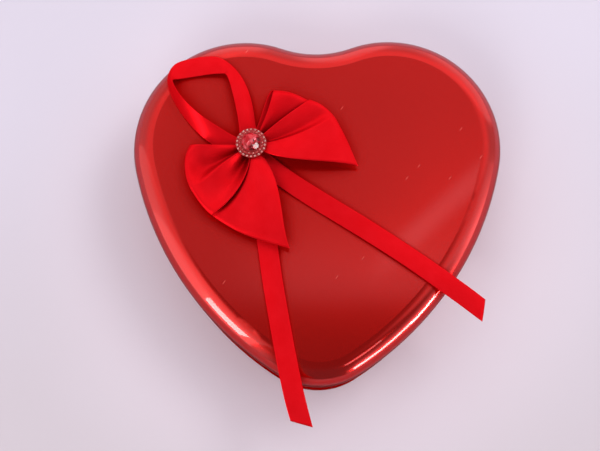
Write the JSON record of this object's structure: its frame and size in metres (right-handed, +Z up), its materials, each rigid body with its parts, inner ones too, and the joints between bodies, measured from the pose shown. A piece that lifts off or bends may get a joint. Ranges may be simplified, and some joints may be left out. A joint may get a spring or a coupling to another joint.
{
  "type": "heart gift tin",
  "caption": "Heart-shaped slip-lid metal gift tin with a satin ribbon bow and a set stone glued on its lid; the lid lifts off the base.",
  "frame": {"origin": "middle of the heart's width and length, on the flat underside that rests on a table", "axes": "+Z up through the lid, +Y towards the heart's notch, -Y towards its tip, +X to the right seen from above"},
  "size_m": [0.152, 0.1599, 0.0564],
  "materials": {
    "red_lacquer": "glossy metallic red lacquer",
    "tinplate": "plain tinplate",
    "red_satin": "satin",
    "clear_glue": "dried hot glue",
    "setting_metal": "bright plating",
    "red_stone": "faceted, foil-backed",
    "clear_stones": "faceted, foil-backed"
  },
  "bodies": {
    "base": {"base_wall": "red_lacquer", "base_floor": "tinplate"},
    "lid": {"lid_shell": "red_lacquer", "bow_glue_pad": "clear_glue", "ribbon_tail_front": "red_satin", "ribbon_tail_right": "red_satin", "ribbon_loop": "red_satin", "bow_wing_left": "red_satin", "bow_wing_right": "red_satin", "bow_tie_band": "red_satin", "gem_glue_dot": "clear_glue", "gem_setting": "setting_metal", "gem_centre_stone": "red_stone", "gem_halo_stones": "clear_stones"}
  },
  "joints": [
    {"name": "lid_lift", "type": "slide", "parent": "base", "child": "lid", "axis": [0, 0, 1], "range_m": [0, 0.06]}
  ]
}
